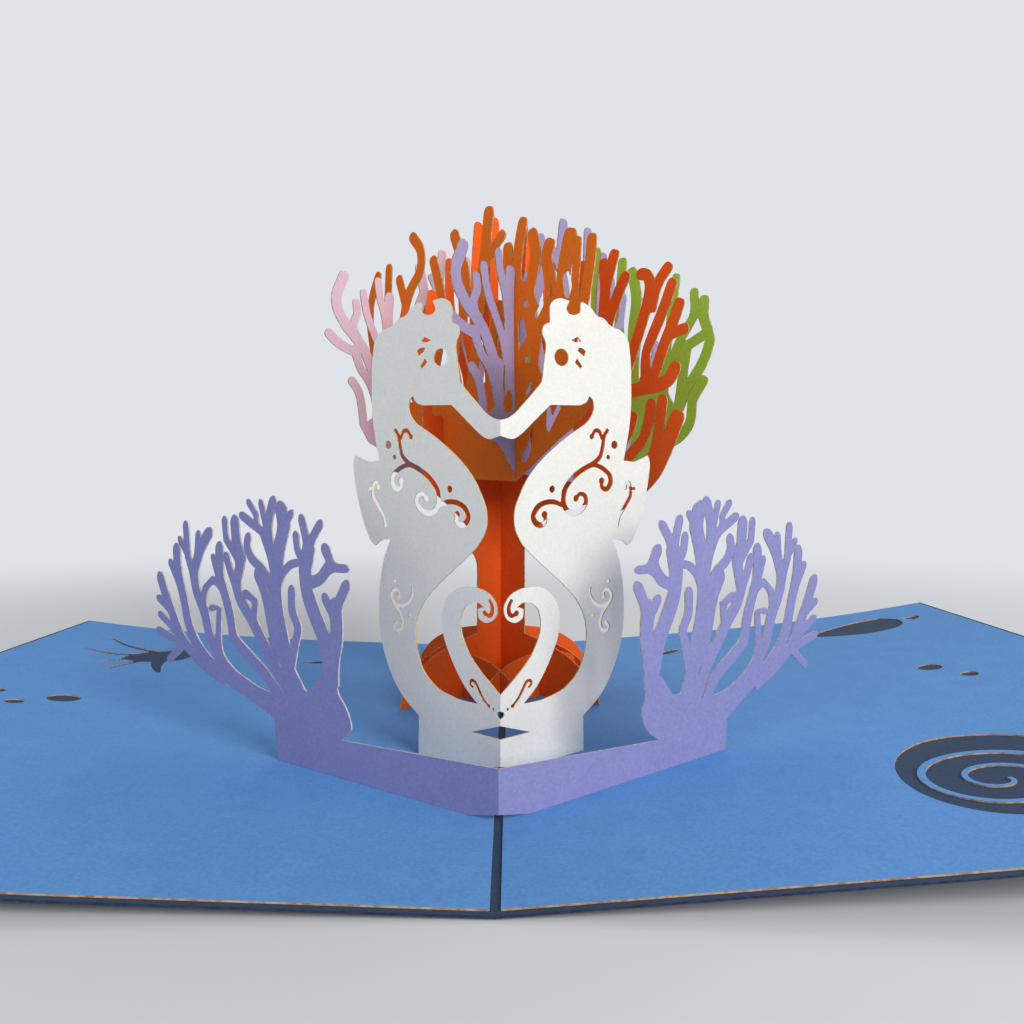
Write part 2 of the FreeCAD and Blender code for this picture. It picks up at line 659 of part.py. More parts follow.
# Openings in the rust sheet, through which the sheets behind it show
RUST_WINDOWS = [
    [(28.9, 93.8), (28.6, 101), (30.6, 101.6), (31.8, 97)],
    [(31.2, 92.3), (33.2, 91.9), (32.9, 89.9), (31, 90.4)],
    [(33.4, 86.4), (33.6, 84.6), (31.6, 81.6), (31.2, 83)],
    [(37, 106.1), (37.5, 104), (35, 100.6), (34.3, 101.9)],
    [(39.7, 109), (40.4, 107.2), (39.7, 104.8), (39, 106)],
    [(43.4, 110.4), (45.4, 111.2), (46.6, 107.4), (45.5, 104.2), (44.1, 105.3)],
    [(31.1, 106.4), (32.3, 105.1), (32, 103.7), (30.5, 104.4)],
    [(38.3, 79.4), (39.5, 79.4), (40.1, 77), (41.8, 79.6), (43.2, 79), (39, 72.6), (37.9, 74)],
    [(32.9, 74.6), (33.8, 73.9), (32.8, 67.4), (31.3, 65.5), (29.5, 66.2), (30.3, 68.4), (31.7, 69.4)],
    [(47.5, 86), (49.5, 92), (48, 98), (46, 91)],
    [(37, 86), (39, 94), (37, 97), (35.4, 90)],
]

TRUNK_WEB_A = [(9.4, 44), (17, 52), (27, 59), (32, 69), (28, 78), (12, 80), (0, 82), (-12, 80),
               (-28, 78), (-32, 69), (-27, 59), (-17, 52), (-9.4, 44)]

ORANGE_BRANCHES = [
    (3.4, [(-6, 36), (-10, 42), (-15.5, 45.5)]),
    (3.0, [(6, 38), (10, 44), (16.5, 46.5)]),
    (3.2, [(-27, 70), (-28, 86), (-27.5, 100), (-26, 111)]),
    (2.8, [(-27.6, 84), (-32, 95), (-33, 104)]),
    (3.2, [(-14, 76), (-18, 92), (-20.1, 103), (-19.9, 112), (-19.6, 120.5)]),
    (3.2, [(-9, 78), (-11, 95), (-10.5, 110), (-10, 122), (-9, 132.5)]),
    (2.8, [(-11, 93), (-15, 106), (-15, 116)]),
    (3.2, [(-5, 80), (-3.2, 98), (-2.8, 118), (-2.6, 135)]),
    (3.0, [(4, 78), (3.2, 98), (3.2, 114), (3.4, 127.5)]),
    (3.2, [(8, 76), (9, 98), (10, 115), (10.5, 132)]),
    (2.8, [(9.2, 98), (14, 112), (15, 130)]),
    (3.0, [(14, 76), (18, 95), (20, 110), (19, 121)]),
    (3.2, [(28, 70), (30, 86), (31, 100), (30, 112)]),
    (2.8, [(30, 84), (35, 95), (36, 105)]),
]

TRUNK_WEB_B = [(9.4, 44), (16, 50), (28, 54), (40, 56), (44, 62), (43, 72), (42, 80), (44.5, 86),
               (44, 94), (40, 102), (35, 100), (27, 94), (14, 88), (0, 86), (-16, 86), (-30, 86),
               (-36, 77), (-28, 64), (-16, 54), (-9.4, 44)]

RED_BRANCHES = [
    (3.2, [(38, 98), (38.6, 110), (38, 117.5)]),
    (3.2, [(37.5, 100), (38.5, 110), (40, 115), (41.6, 119.3)]),
    (3.2, [(37, 96), (40, 103), (43, 109.5), (45.2, 113)]),
    (3.1, [(43.5, 84), (46.3, 91), (49.5, 98.5), (52.2, 105.5), (52.9, 109.5), (51.9, 112.4),
           (49.9, 112.8)]),
    (2.9, [(53, 103), (54.5, 108.5), (56, 111), (58.3, 113.4)]),
    (3.0, [(51.5, 84), (51.4, 93), (54.3, 98.4), (57.3, 104.2), (59.5, 109.3)]),
    (3.1, [(52.5, 84), (54.6, 88.5), (57, 94.5), (59.4, 99.1), (61.6, 104.2)]),
    (2.7, [(58, 96.5), (60.3, 97.3), (63.2, 97.9)]),
    (3.5, [(41, 82), (47, 83.8), (52, 84.4), (56, 84.8), (58.8, 86.2), (60.4, 88.8)]),
    (2.8, [(41, 61), (44, 70.2), (46.6, 74), (47.7, 77.5)]),
    (3.1, [(41, 64), (46.5, 67.5), (50.8, 71.3), (52.6, 76.3), (53.2, 80.3)]),
    (3.0, [(49, 60), (53, 65.5), (54.8, 70), (55.9, 76.1), (56.6, 81.2)]),
    (4.2, [(38, 54), (45, 56), (49.8, 59.5), (54, 63), (57.3, 68.7), (59.5, 73.6), (61, 76.8)]),
    (4.0, [(-4, 84), (-6, 105), (-5.5, 120), (-5, 139)]),
    (3.0, [(-5.5, 121), (-2.5, 129), (0.6, 131.5)]),
    (3.4, [(6, 84), (7, 108), (8, 122), (9, 133.5)]),
    (3.0, [(-12, 84), (-18, 100), (-22, 112), (-23, 127.5)]),
    (3.0, [(14, 86), (18, 104), (20, 118), (19, 126)]),
    (3.2, [(25, 90), (29, 104), (31, 118)]),
    (3.0, [(-24, 84), (-30, 98), (-34, 110), (-36, 118)]),
    (3.0, [(-28, 84), (-38, 100), (-41, 108)]),
    (3.0, [(-32, 80), (-40, 87), (-45, 95)]),
]

GREEN_WEB = [(-30, 79), (-14, 69), (8, 64), (27, 65), (38, 70), (44, 79), (40, 86), (29, 90), (16, 86),
             (0, 84), (-16, 86), (-28, 88)]

GREEN_BRANCHES = [
    (3.2, [(26, 86), (23.4, 100), (23.3, 112), (24.6, 124)]),
    (3.6, [(28.8, 86), (28.2, 104), (30, 113), (28, 120.5)]),
    (2.7, [(36, 84), (40, 97), (42, 109), (43.2, 116.8)]),
    (2.7, [(38, 84), (43.5, 98), (49.3, 106), (49, 112)]),
    (3.1, [(42, 76), (46.5, 86), (51, 91.5), (54, 98.5), (51.8, 105), (52.2, 109.5)]),
    (2.8, [(38, 85), (42, 93.5), (47.5, 98), (53, 100.5)]),
    (3.0, [(42, 72), (44.5, 84.5), (45.5, 91), (46.8, 98)]),
    (3.0, [(36, 69), (44.5, 73), (48, 77.5), (48.4, 83), (52, 88)]),
    (3.2, [(-10, 84), (-13, 100), (-14, 117)]),
    (3.2, [(-24, 86), (-30, 96), (-34, 104)]),
    (3.2, [(3, 84), (4, 102), (1.5, 122)]),
    (3.2, [(12, 84), (14, 104), (15, 128.5)]),
    (3.2, [(-26, 84), (-34, 88), (-38, 93)]),
]

def crown_face(web, branches, windows, lower=()):
    """A crown sheet's outline: its web and branches with what is below, less the openings between."""
    factor = tree_scale()
    faces = [polygon(scaled(web, factor))] + list(lower)
    for width, points in branches:
        faces.append(ribbon(scaled(points, factor), width * factor))
    face = merge(faces)
    openings = [polygon(scaled(points, factor)) for points in windows]
    return face.cut(openings) if openings else face


def slots_down(places, low):
    """Slots that run from a height to beyond the top of a sheet."""
    return [(place, low, size("tree_height") * 1.1) for place in places]


def slots_up(places, high, low=-9):
    """Slots that run from below a sheet's lower edge up to a height."""
    return [(place, low, high) for place in places]


def make_trunk_sheets():
    """The two sheets that cross at the trunk's axis, each from its root to its crown."""
    half = size("trunk_half")
    trunk = polygon([(-half, 5), (half, 5), (half, tree_size("trunk_lap")), (-half, tree_size("trunk_lap"))])
    root = root_face(size("root_half"), size("root_height"))
    crown_lap = tree_size("crown_lap")
    trunk_lap = tree_size("trunk_lap")
    root_lap = size("front_root_height") / 2
    offset = size("front_root_offset")
    a_slots = slots_down([-tree_size("rust_offset"), tree_size("green_offset")], crown_lap)
    a_slots += slots_down([0], trunk_lap * 0.9)
    a_slots += slots_up([-offset, offset], root_lap)
    b_slots = slots_up([tree_size("lavender_offset"), -tree_size("pink_offset")], crown_lap, trunk_lap / 2)
    b_slots += slots_up([0], trunk_lap * 0.9)
    b_slots += slots_up([-offset, offset], root_lap)
    orange = crown_face(TRUNK_WEB_A, ORANGE_BRANCHES, [], [trunk, root])
    add_tree_sheet("trunk_sheet_a", "A", 0, orange, a_slots)
    red = crown_face(TRUNK_WEB_B, RED_BRANCHES, [], [trunk, root])
    add_tree_sheet("trunk_sheet_b", "B", 0, red, b_slots)


def make_root_sheets():
    """The four low sheets that cross round the trunk's foot and brace it."""
    half = size("front_root_half")
    height = size("front_root_height")
    offset = size("front_root_offset")
    lap = height / 2
    for name, kind, place in (("root_a_front", "A", offset), ("root_a_back", "A", -offset),
                              ("root_b_front", "B", offset), ("root_b_back", "B", -offset)):
        slots = slots_down([0], lap)
        if kind == "A":
            slots += slots_down([-offset, offset], lap)
        else:
            slots += slots_up([-offset, offset], lap)
        add_tree_sheet(name, kind, place, root_face(half, height), slots)


def make_crown_sheets():
    """The four coloured sheets that cross round the trunk sheets' crown."""
    lap = tree_size("crown_lap")
    a_slots = slots_down([-tree_size("rust_offset"), 0, tree_size("green_offset")], lap)
    b_slots = slots_up([tree_size("lavender_offset"), 0, -tree_size("pink_offset")], lap)
    lavender = crown_face(LAVENDER_WEB, LAVENDER_BRANCHES, LAVENDER_WINDOWS)
    rust = crown_face(RUST_WEB, RUST_BRANCHES, RUST_WINDOWS)
    green = crown_face(GREEN_WEB, GREEN_BRANCHES, [])
    add_tree_sheet("lavender_sheet", "A", tree_size("lavender_offset"), lavender, a_slots)
    add_tree_sheet("pink_sheet", "A", -tree_size("pink_offset"), lavender, a_slots)
    add_tree_sheet("rust_sheet", "B", tree_size("rust_offset"), rust, b_slots)
    add_tree_sheet("green_sheet", "B", -tree_size("green_offset"), green, b_slots)


# Linings with their cut-outs

# Corners in one turn of the snail's coil, and degrees that a cut may turn through in one chord
COIL_CORNERS = 12
PAGE_TURN = 38.0


def on_page(points):
    """Points drawn on a page of the drawn size, moved with the real page's size."""
    wide = size("page_width") / DRAWN_PAGE[0]
    deep = size("page_length") / DRAWN_PAGE[1]
    return [(x * wide, y * deep) for x, y in points]


def page_outline(runs):
    """Cut-out on a page from runs of drawn points."""
    return outline([on_page(run) for run in runs], PAGE_TURN)


def page_dot(x_centre, y_centre, width, depth):
    """Round cut-out on a page."""
    (x_place, y_place), = on_page([(x_centre, y_centre)])
    return disc(x_place, y_place, width, depth, 9)


def coil(x_centre, y_centre, start, growth, turns, end, width):
    """Strip that spirals clockwise outwards from a small end and joins the sheet at its other end."""
    points = []
    for k in range(int(turns * COIL_CORNERS) + 1):
        turned = k / COIL_CORNERS
        radius = start + growth * turned
        points.append((x_centre + radius * math.cos(2 * math.pi * turned),
                       y_centre - radius * math.sin(2 * math.pi * turned)))
    return ribbon(on_page(points + [end]), width, tip="flat", fineness=PAGE_TURN, root_width=width / 2)


def left_cutouts():
    """Openings of the left lining: a prawn with long feelers, a small fish and bubbles."""
    prawn = [
        polygon(on_page([(-117, 55), (-114, 62), (-109, 66), (-105, 71.5), (-99, 70.5), (-98.6, 62),
                         (-100.4, 54.2), (-103.9, 51.3), (-107.6, 49.1), (-112, 48.2), (-117, 50.5)])),
        ribbon(on_page([(-110, 63), (-117.1, 65), (-123.5, 68.8), (-131, 76)]), 0.7, root_width=2.8),
        ribbon(on_page([(-113, 58.6), (-120.5, 55.2), (-126.1, 56.3), (-132, 59)]), 0.7, root_width=2.8),
        ribbon(on_page([(-115, 51), (-119.2, 45.4), (-123.5, 41.2)]), 0.5, root_width=1.6),
        ribbon(on_page([(-110.4, 50.5), (-113.6, 41.8), (-115.2, 35.2)]), 0.5, root_width=1.6),
        ribbon(on_page([(-106, 52), (-104, 44), (-100.8, 37.7)]), 1.4, root_width=4.2),
    ]
    fish = page_outline([[(-64, 60), (-60, 64), (-55, 65)], [(-55, 65), (-58, 60), (-64, 60)]])
    return [merge(prawn), fish, page_dot(-111.6, 3.3, 8.8, 7), page_dot(-120.7, -3.2, 5, 4),
            page_dot(-129, 4.5, 4, 4)]


def right_cutouts():
    """Openings of the right lining: a snail shell with its coil left in, a fish and bubbles."""
    shell = page_outline([[(73.8, -63), (75.6, -53.5), (80.6, -45.2), (89, -39.4), (99, -39.8),
                           (107.5, -44.8), (113.8, -53.5), (115.3, -63), (112, -72), (103, -79.8),
                           (92, -82.8), (81.2, -79.6), (75.3, -71.5), (73.8, -63)]])
    snail = shell.cut(coil(90.5, -64.5, 1.5, 7.6, 2, (119, -74), 1.7))
    fish = page_outline([[(89, 70.5), (101, 73), (109.3, 78.7), (119, 83.2), (128, 84), (132, 79)],
                         [(132, 79), (131.5, 72), (127, 66.8), (117, 64.2), (108.3, 66), (99, 70.2),
                          (89, 70.5)]])
    tail = polygon(on_page([(133.2, 78.6), (138.4, 80), (139, 77), (135.8, 74.4)]))
    small = page_outline([[(46, 62), (52, 70), (58, 72)], [(58, 72), (55, 66), (46, 62)]])
    return [snail, fish, tail, small, page_dot(114.1, 15.4, 6.4, 6.7), page_dot(119.3, 4.3, 4.4, 4.8)]


def make_liner(name, side, cutouts):
    """A light blue lining sheet, glued on its page and cut through to show the cover."""
    blank = sheet_body(name + "_blank", liner_section(side), "page_length", "Sizes.cover_border")
    drawing = doc.addObject("Part::Feature", name + "_drawing")
    drawing.Shape = Part.makeCompound(cutouts)
    knife = doc.addObject("Part::Extrusion", name + "_knife")
    knife.Base = drawing
    knife.DirMode = "Custom"
    knife.Dir = Vector(0, 0, 1)
    knife.Solid = True
    knife.setExpression("LengthFwd", "Sizes.page_width / 3")
    liner = doc.addObject("Part::Cut", name)
    liner.Base = blank
    liner.Tool = knife
    liner.Label = name
    return liner


def export(names):
    """Check every object, then write one file for each piece."""
    doc.recompute()
    for item in doc.Objects:
        if "Invalid" in item.State or "Error" in item.State:
            raise RuntimeError("%s did not compute" % item.Name)
    os.makedirs("parts", exist_ok=True)
    for name in names:
        shape = doc.getObject(name).Shape
        if shape.isNull() or not shape.isValid():
            raise RuntimeError("%s is not a valid shape" % name)
        if len(shape.Solids) != 1:
            raise RuntimeError("%s is %d solids" % (name, len(shape.Solids)))
        shape.exportStep("parts/%s.step" % name)
        print(name, round(shape.Volume, 2), [round(v, 1) for v in (
            shape.BoundBox.XMin, shape.BoundBox.XMax, shape.BoundBox.YMin, shape.BoundBox.YMax,
            shape.BoundBox.ZMin, shape.BoundBox.ZMax)])


make_cover()
make_liner("left_liner", -1, left_cutouts())
make_liner("right_liner", 1, right_cutouts())
make_front_coral()
make_seahorses()
make_trunk_sheets()
make_root_sheets()
make_crown_sheets()
export(["cover", "left_liner", "right_liner", "front_coral", "seahorses", "trunk_sheet_a",
        "trunk_sheet_b", "root_a_front", "root_a_back", "root_b_front", "root_b_back",
        "lavender_sheet", "pink_sheet", "rust_sheet", "green_sheet"])
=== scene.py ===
# %% [markdown]
# # A laser cut pop up card
# The object is a greeting card held open. A navy cover is folded once; on each page a light blue
# lining is glued, and sea shapes are cut out of it so that the navy shows. On the fold stand a
# lavender coral strip and a white sheet with two seahorses, and behind them a coral tree built
# from sheets that cross and slot into each other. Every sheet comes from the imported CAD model,
# exact and to size. What is left to do here is what paper looks like: its colours, its fibres,
# the brown edge that a laser leaves, and the light.

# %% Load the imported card
import bmesh
import bpy
import math
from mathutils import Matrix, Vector


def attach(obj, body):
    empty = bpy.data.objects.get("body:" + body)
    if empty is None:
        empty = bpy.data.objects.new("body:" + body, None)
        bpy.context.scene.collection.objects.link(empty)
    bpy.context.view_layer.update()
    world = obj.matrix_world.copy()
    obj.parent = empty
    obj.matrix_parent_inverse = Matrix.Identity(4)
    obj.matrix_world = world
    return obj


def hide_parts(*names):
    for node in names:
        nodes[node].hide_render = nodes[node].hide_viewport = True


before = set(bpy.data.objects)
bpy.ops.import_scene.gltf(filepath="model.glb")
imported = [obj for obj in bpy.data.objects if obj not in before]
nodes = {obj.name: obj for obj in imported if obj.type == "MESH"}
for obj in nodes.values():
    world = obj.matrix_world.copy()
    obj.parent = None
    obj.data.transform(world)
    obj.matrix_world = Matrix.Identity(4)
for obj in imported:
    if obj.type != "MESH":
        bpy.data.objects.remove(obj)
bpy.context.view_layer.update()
MM = 0.001
bpy.ops.object.select_all(action="DESELECT")
print("pieces:", sorted(nodes))

# %% [markdown]
# ## The camera
# The photograph is taken from the reader's side, 230 mm in front of the card's middle and level,
# a little above the seahorses' shoulders. The camera stays level and its frame is shifted down a
# little, which is what keeps upright sheets upright in the picture.

# %% Place the camera
IMAGE_SIDE = 1024
FOCAL_PIXELS = 920
HORIZON_ROW = 471
CAMERA_PLACE = (2.4 * MM, -230.6 * MM, 63.6 * MM)

bpy.ops.object.camera_add(location=CAMERA_PLACE, rotation=(math.radians(90), 0, 0))
camera = bpy.context.object
camera.name = "reader_camera"
camera.data.sensor_width = 36
camera.data.lens = FOCAL_PIXELS / IMAGE_SIDE * camera.data.sensor_width
camera.data.shift_y = (HORIZON_ROW - IMAGE_SIDE / 2) / IMAGE_SIDE
camera.data.clip_start = 0.005
bpy.context.scene.camera = camera
print("lens %.1f mm, shift %.3f" % (camera.data.lens, camera.data.shift_y))

# %% [markdown]
# ## The studio
# A pale floor, a large soft lamp from the front right, a weaker one from the left, and an even
# pale sky. The photograph is lit from the right, which is why the tree's sheets that face right
# are bright and those that face left are a deeper colour. The floor and the sky look pale to the
# camera through their own colour, and not through more light on the card: the sky has one
# background that lights and another, pale grey, that only the camera sees.

# %% Colours and nodes
def linear(hex_colour):
    """Turn an sRGB hex value into the linear colour that a shader wants."""
    channels = [int(hex_colour[i:i + 2], 16) / 255 for i in (1, 3, 5)]
    return [c / 12.92 if c <= 0.04045 else ((c + 0.055) / 1.055) ** 2.4 for c in channels] + [1.0]


def add_node(material, kind, settings=None, inputs=None, links=None):
    """Add one node: settings are its properties, inputs fixed values, links (socket, node, output)."""
    node = material.node_tree.nodes.new(kind)
    for name, value in (settings or {}).items():
        setattr(node, name, value)
    for name, value in (inputs or {}).items():
        node.inputs[name].default_value = value
    for name, source, output in links or []:
        material.node_tree.links.new(source.outputs[output], node.inputs[name])
    return node


print("card orange in linear light:", [round(c, 3) for c in linear("#EE6C16")])

# %% Floor and sky
BACKDROP = "#E0E3E8"
bpy.ops.mesh.primitive_plane_add(size=3, location=(0, 0, -0.0003))
floor = bpy.context.object
floor.name = "studio_floor"
floor_paint = bpy.data.materials.new("matt_white_floor_paint")
floor_paint.use_nodes = True
floor_shader = floor_paint.node_tree.nodes["Principled BSDF"]
floor_shader.inputs["Base Color"].default_value = linear("#E6E9ED")
floor_shader.inputs["Roughness"].default_value = 0.9
floor.data.materials.append(floor_paint)

floor_place = add_node(floor_paint, "ShaderNodeTexCoord")
floor_distance = add_node(floor_paint, "ShaderNodeVectorMath", {"operation": "LENGTH"}, {},
                          [("Vector", floor_place, "Object")])
far_away = add_node(floor_paint, "ShaderNodeMapRange", {"interpolation_type": "SMOOTHSTEP"},
                    {"From Min": 0.16, "From Max": 0.55}, [("Value", floor_distance, "Value")])
floor_rays = add_node(floor_paint, "ShaderNodeLightPath")
faded = add_node(floor_paint, "ShaderNodeMath", {"operation": "MULTIPLY"}, {},
                 [(0, far_away, "Result"), (1, floor_rays, "Is Camera Ray")])
distance_tone = add_node(floor_paint, "ShaderNodeEmission", {}, {"Color": linear(BACKDROP), "Strength": 1.0})
floor_mix = add_node(floor_paint, "ShaderNodeMixShader", {}, {}, [
    (0, faded, "Value"), (1, floor_shader, "BSDF"), (2, distance_tone, "Emission")])
floor_paint.node_tree.links.new(floor_mix.outputs["Shader"],
                                floor_paint.node_tree.nodes["Material Output"].inputs["Surface"])

sky = bpy.data.worlds.new("studio_sky")
bpy.context.scene.world = sky
sky.use_nodes = True
sky_light = sky.node_tree.nodes["Background"]
sky_light.inputs["Color"].default_value = linear("#E9EDF2")
sky_light.inputs["Strength"].default_value = 0.34
backdrop = add_node(sky, "ShaderNodeBackground", {}, {"Color": linear(BACKDROP), "Strength": 1.0})
rays = add_node(sky, "ShaderNodeLightPath")
seen = add_node(sky, "ShaderNodeMixShader", {}, {}, [
    (0, rays, "Is Camera Ray"), (1, sky_light, "Background"), (2, backdrop, "Background")])
sky.node_tree.links.new(seen.outputs["Shader"], sky.node_tree.nodes["World Output"].inputs["Surface"])
print("floor and sky ready")


# %% Lamps
def add_lamp(name, place, aim, side, watts, colour):
    """A square soft lamp that faces a point."""
    direction = Vector(aim) - Vector(place)
    bpy.ops.object.light_add(type="AREA", location=place,
                             rotation=direction.to_track_quat("-Z", "Y").to_euler())
    lamp = bpy.context.object
    lamp.name = name
    lamp.data.size = side
    lamp.data.energy = watts
    lamp.data.color = linear(colour)[:3]
    return lamp


add_lamp("key_lamp_right", (0.70, -0.90, 0.58), (0, 0, 0.05), 0.6, 12.3, "#FFF8F0")
add_lamp("fill_lamp_left", (-0.70, -0.85, 0.3), (0, 0, 0.05), 0.8, 1.9, "#F2F6FF")
add_lamp("back_lamp", (0.2, 0.9, 0.8), (0, 0, 0.06), 0.7, 3.0, "#FFFFFF")
bpy.context.scene.view_settings.view_transform = "Standard"

# %% [markdown]
# ## Card stock
# The sheets are coloured wood pulp card of 250 to 300 g per square metre, dyed through and
# calendered, so they are matt, even in colour, and just uneven enough to see in raking light.
# Two noises do that: clouds a few millimetres wide where the pulp is thicker, and fibres about
# half a millimetre long. Paper has no clear coat; its specular level stays low and its
# roughness high.

# %% Card material
def card_stock(name, colour, cloud_colour, roughness=0.82):
    """Dyed pulp card: cloudy colour, short fibres and a faint tooth."""
    material = bpy.data.materials.new(name)
    material.use_nodes = True
    shader = material.node_tree.nodes["Principled BSDF"]
    place = add_node(material, "ShaderNodeTexCoord")
    clouds = add_node(material, "ShaderNodeTexNoise", {},
                      {"Scale": 1 / (6 * MM), "Detail": 2.0}, [("Vector", place, "Object")])
    fibres = add_node(material, "ShaderNodeTexNoise", {},
                      {"Scale": 1 / (0.7 * MM), "Detail": 3.0, "Roughness": 0.65},
                      [("Vector", place, "Object")])
    both = add_node(material, "ShaderNodeMath", {"operation": "MULTIPLY_ADD"}, {1: 0.3},
                    [(0, clouds, "Fac"), (2, fibres, "Fac")])
    tint = add_node(material, "ShaderNodeValToRGB", {}, {}, [("Fac", both, "Value")])
    tint.color_ramp.elements[0].position = 0.5
    tint.color_ramp.elements[0].color = linear(cloud_colour)
    tint.color_ramp.elements[1].position = 0.8
    tint.color_ramp.elements[1].color = linear(colour)
    tooth = add_node(material, "ShaderNodeBump", {}, {"Strength": 0.25, "Distance": 0.05 * MM},
                     [("Height", fibres, "Fac")])
    material.node_tree.links.new(tint.outputs["Color"], shader.inputs["Base Color"])
    material.node_tree.links.new(tooth.outputs["Normal"], shader.inputs["Normal"])
    shader.inputs["Roughness"].default_value = roughness
    shader.inputs["Specular IOR Level"].default_value = 0.3
    return material


card_colours = {
    "cover": ("navy_card", "#384E6C", "#304562"),
    "left_liner": ("sky_blue_card", "#68A4E9", "#5E99DC"),
    "right_liner": ("sky_blue_card", "#68A4E9", "#5E99DC"),
    "front_coral": ("lilac_card", "#9092C6", "#8688BC"),
    "seahorses": ("white_card", "#EDEEE9", "#E5E7E1"),
    "trunk_sheet_a": ("orange_card", "#FC681A", "#F26016"),
    "trunk_sheet_b": ("orange_card", "#FC681A", "#F26016"),
    "root_a_front": ("orange_card", "#FC681A", "#F26016"),
    "root_a_back": ("orange_card", "#FC681A", "#F26016"),
    "root_b_front": ("orange_card", "#FC681A", "#F26016"),
    "root_b_back": ("orange_card", "#FC681A", "#F26016"),
    "lavender_sheet": ("lavender_card", "#A39AC2", "#9990B8"),
    "pink_sheet": ("pink_card", "#E2C8DA", "#D9BDD0"),
    # The rust sheet is cut from the same orange card as the trunk and roots. Its colour here is painted
    # lighter and yellower: painted light that makes up for the seahorses' shadow on it.
    "rust_sheet": ("orange_card_painted_lighter", "#FA7C1A", "#F07216"),
    "green_sheet": ("leaf_green_card", "#B4F054", "#A9E64A"),
}
card_materials = {}
for name, colour, cloud in card_colours.values():
    if name not in card_materials:
        card_materials[name] = card_stock(name, colour, cloud)
print("card colours:", sorted(card_materials))

# %% [markdown]
# ## Laser cut edges
# A laser burns its way through card and leaves the cut edge tan to brown, whatever the dye. The
# cut edge is a second material on the same sheet. Which triangles belong to it follows from
# their direction: on a flat sheet, the two faces are the largest flat areas, so each triangle
# that points another way than a large area is an edge.

# %% Edge material
def scorched_edge(name, colour, dark):
    """The edge of laser cut card: tan fibres with darker scorch."""
    material = bpy.data.materials.new(name)
    material.use_nodes = True
    shader = material.node_tree.nodes["Principled BSDF"]
    place = add_node(material, "ShaderNodeTexCoord")
    scorch = add_node(material, "ShaderNodeTexNoise", {}, {"Scale": 1 / (1.2 * MM), "Detail": 3.0},
                      [("Vector", place, "Object")])
    tint = add_node(material, "ShaderNodeValToRGB", {}, {}, [("Fac", scorch, "Fac")])
    tint.color_ramp.elements[0].position = 0.35
    tint.color_ramp.elements[0].color = linear(dark)
    tint.color_ramp.elements[1].position = 0.6
    tint.color_ramp.elements[1].color = linear(colour)
    material.node_tree.links.new(tint.outputs["Color"], shader.inputs["Base Color"])
    shader.inputs["Roughness"].default_value = 0.9
    shader.inputs["Specular IOR Level"].default_value = 0.2
    return material


edge_materials = {
    "cover": scorched_edge("guillotined_navy_edge", "#2E3A56", "#222C44"),
    "seahorses": scorched_edge("laser_cut_white_edge", "#E2CF9C", "#C2A66C"),
    "front_coral": scorched_edge("laser_cut_lilac_edge", "#D8CDD2", "#B9A9AC"),
}
laser_edge = scorched_edge("laser_scorched_edge", "#CFAE86", "#A37C52")


# %% [markdown]
# ## The outlines of the cut sheets
# A laser leaves smooth curves, and round tips where a branch ends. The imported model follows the
# same outlines in short straight chords, because it also has to serve for collision. So each
# sheet is cut anew here, as a flat outline that is filled and given its thickness, which is how
# such a sheet is drawn by hand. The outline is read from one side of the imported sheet, so every
# sheet keeps its place and size to a tenth of a millimetre, and its corners are then rounded.

# %% Read the outline on one side of a sheet
def face_directions(mesh, share=0.08):
    """Directions in which more than that share of a sheet's area points."""
    areas = {}
    for polygon in mesh.polygons:
        key = tuple(round(value, 1) + 0.0 for value in polygon.normal)
        areas[key] = areas.get(key, 0) + polygon.area
    total = sum(areas.values())
    return [Vector(key).normalized() for key, area in areas.items() if area > share * total]


def outline_loops(faces):
    """Closed loops of vertices round a group of faces, outer ones and holes alike."""
    group = set(faces)
    following = {}
    for face in faces:
        for corner in face.loops:
            if sum(other in group for other in corner.edge.link_faces) == 1:
                following.setdefault(corner.vert, []).append(corner.link_loop_next.vert)
    loops = []
    while following:
        loop = [next(iter(following))]
        while loop[-1] in following:
            ways = following[loop[-1]]
            step = ways.pop()
            if not ways:
                del following[loop[-1]]
            if step is loop[0]:
                break
            loop.append(step)
        loops.append(loop)
    return loops


# %% Round the corners of an outline
SOFT_TURN = math.radians(62)
SHARP_TURN = math.radians(112)
LONG_SIDE = 4.0
BRANCHES = {"curve_turn": math.radians(28), "longest": 6.0, "bend": 2.0, "tip": 1.1, "steps": 4}
SEAHORSE = {"curve_turn": math.radians(28), "longest": 6.0, "bend": 0.9, "tip": 0.2, "steps": 4}
PAGE = {"curve_turn": math.radians(42), "longest": 9.0, "bend": 2.0, "tip": 1.1, "steps": 6}


def corner_reach(turn, shorter, cut):
    """How far a rounding runs along the two sides of a corner, in mm."""
    if turn < cut["curve_turn"]:
        return min(shorter / 2, cut["longest"])
    if shorter > LONG_SIDE or turn > SHARP_TURN:
        return min(shorter / 2, 0.2)
    return min(shorter / 2, cut["bend"] if turn < SOFT_TURN else cut["tip"])


def without_straight_points(loop, kept):
    """Drop the points that lie on a straight side, apart from the kept ones."""
    left, left_kept = [], set()
    for index, here in enumerate(loop):
        before = left[-1] if left else loop[index - 1]
        after = loop[(index + 1) % len(loop)]
        if (here - before).length < 0.001:
            continue
        if index not in kept and (here - before).angle(after - here, 0.0) < math.radians(1.5):
            continue
        if index in kept:
            left_kept.add(len(left))
        left.append(here)
    return left, left_kept


